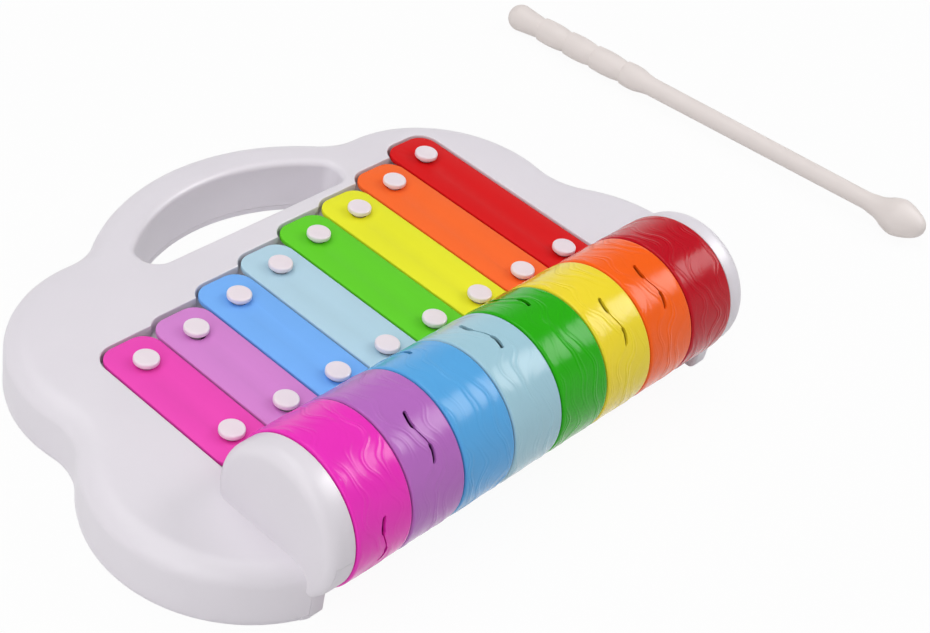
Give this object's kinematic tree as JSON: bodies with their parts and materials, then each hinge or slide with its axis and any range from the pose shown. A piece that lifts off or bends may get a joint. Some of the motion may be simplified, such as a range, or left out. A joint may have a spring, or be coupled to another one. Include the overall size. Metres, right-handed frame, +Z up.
{
  "type": "toy xylophone",
  "caption": "Cloud-shaped toy xylophone with colour-graded metal bars on pegs, a hand hole behind them, a drum of separately spinning rattle rings in front, and a loose mallet.",
  "frame": {"origin": "the flat underside of the bottom cover, on the body's centre line, 32 mm behind the front pegs; the part stands on it", "axes": "+X along the drum axle to the player's right, from the shortest bar to the longest; +Y from the drum to the handle; +Z up"},
  "size_m": [0.4058, 0.2296, 0.0588],
  "materials": {
    "shell_white": "satin moulded plastic",
    "cover_white": "fine moulded texture",
    "peg_white": "satin moulded plastic",
    "damper_foam": "closed-cell foam",
    "plain_steel": "plain bright steel",
    "bar_magenta": "gloss enamel",
    "bar_lavender": "gloss enamel",
    "bar_sky_blue": "gloss enamel",
    "bar_light_blue": "gloss enamel",
    "bar_green": "gloss enamel",
    "bar_yellow": "gloss enamel",
    "bar_orange": "gloss enamel",
    "bar_red": "gloss enamel",
    "ring_magenta": "gloss",
    "ring_lavender": "gloss",
    "ring_sky_blue": "gloss",
    "ring_light_blue": "gloss",
    "ring_green": "gloss",
    "ring_yellow": "gloss",
    "ring_orange": "gloss",
    "ring_red": "gloss",
    "mallet_plastic": "satin moulded plastic"
  },
  "bodies": {
    "xylophone_body": {"top_shell": "shell_white", "bottom_cover": "cover_white", "damper_front": "damper_foam", "damper_rear": "damper_foam", "drum_axle": "plain_steel", "bar_magenta": "bar_magenta", "bar_lavender": "bar_lavender", "bar_sky_blue": "bar_sky_blue", "bar_light_blue": "bar_light_blue", "bar_green": "bar_green", "bar_yellow": "bar_yellow", "bar_orange": "bar_orange", "bar_red": "bar_red", "peg_front_magenta": "peg_white", "peg_front_lavender": "peg_white", "peg_front_sky_blue": "peg_white", "peg_front_light_blue": "peg_white", "peg_front_green": "peg_white", "peg_front_yellow": "peg_white", "peg_front_orange": "peg_white", "peg_front_red": "peg_white", "peg_rear_magenta": "peg_white", "peg_rear_lavender": "peg_white", "peg_rear_sky_blue": "peg_white", "peg_rear_light_blue": "peg_white", "peg_rear_green": "peg_white", "peg_rear_yellow": "peg_white", "peg_rear_orange": "peg_white", "peg_rear_red": "peg_white", "cover_screw_1": "plain_steel", "cover_screw_2": "plain_steel", "cover_screw_3": "plain_steel", "cover_screw_4": "plain_steel", "cover_screw_5": "plain_steel", "cover_screw_6": "plain_steel"},
    "drum_ring_magenta": {"ring_magenta": "ring_magenta", "ring_lid_magenta": "ring_magenta", "rattle_ball_magenta": "plain_steel"},
    "drum_ring_lavender": {"ring_lavender": "ring_lavender", "ring_lid_lavender": "ring_lavender", "rattle_ball_lavender": "plain_steel"},
    "drum_ring_sky_blue": {"ring_sky_blue": "ring_sky_blue", "ring_lid_sky_blue": "ring_sky_blue", "rattle_ball_sky_blue": "plain_steel"},
    "drum_ring_light_blue": {"ring_light_blue": "ring_light_blue", "ring_lid_light_blue": "ring_light_blue", "rattle_ball_light_blue": "plain_steel"},
    "drum_ring_green": {"ring_green": "ring_green", "ring_lid_green": "ring_green", "rattle_ball_green": "plain_steel"},
    "drum_ring_yellow": {"ring_yellow": "ring_yellow", "ring_lid_yellow": "ring_yellow", "rattle_ball_yellow": "plain_steel"},
    "drum_ring_orange": {"ring_orange": "ring_orange", "ring_lid_orange": "ring_orange", "rattle_ball_orange": "plain_steel"},
    "drum_ring_red": {"ring_red": "ring_red", "ring_lid_red": "ring_red", "rattle_ball_red": "plain_steel"},
    "loose_mallet": {"mallet": "mallet_plastic"}
  },
  "joints": [
    {"name": "spin_magenta", "type": "hinge", "parent": "xylophone_body", "child": "drum_ring_magenta", "pos_m": [-0.0875, -0.07603, 0.0302], "axis": [1, 0, 0], "continuous": true},
    {"name": "spin_lavender", "type": "hinge", "parent": "xylophone_body", "child": "drum_ring_lavender", "pos_m": [-0.0625, -0.07603, 0.0302], "axis": [1, 0, 0], "continuous": true},
    {"name": "spin_sky_blue", "type": "hinge", "parent": "xylophone_body", "child": "drum_ring_sky_blue", "pos_m": [-0.0375, -0.07603, 0.0302], "axis": [1, 0, 0], "continuous": true},
    {"name": "spin_light_blue", "type": "hinge", "parent": "xylophone_body", "child": "drum_ring_light_blue", "pos_m": [-0.0125, -0.07603, 0.0302], "axis": [1, 0, 0], "continuous": true},
    {"name": "spin_green", "type": "hinge", "parent": "xylophone_body", "child": "drum_ring_green", "pos_m": [0.0125, -0.07603, 0.0302], "axis": [1, 0, 0], "continuous": true},
    {"name": "spin_yellow", "type": "hinge", "parent": "xylophone_body", "child": "drum_ring_yellow", "pos_m": [0.0375, -0.07603, 0.0302], "axis": [1, 0, 0], "continuous": true},
    {"name": "spin_orange", "type": "hinge", "parent": "xylophone_body", "child": "drum_ring_orange", "pos_m": [0.0625, -0.07603, 0.0302], "axis": [1, 0, 0], "continuous": true},
    {"name": "spin_red", "type": "hinge", "parent": "xylophone_body", "child": "drum_ring_red", "pos_m": [0.0875, -0.07603, 0.0302], "axis": [1, 0, 0], "continuous": true},
    {"name": "mallet_lift", "type": "slide", "parent": "xylophone_body", "child": "loose_mallet", "axis": [0, 0, 1], "range_m": [0, 0.1]}
  ]
}
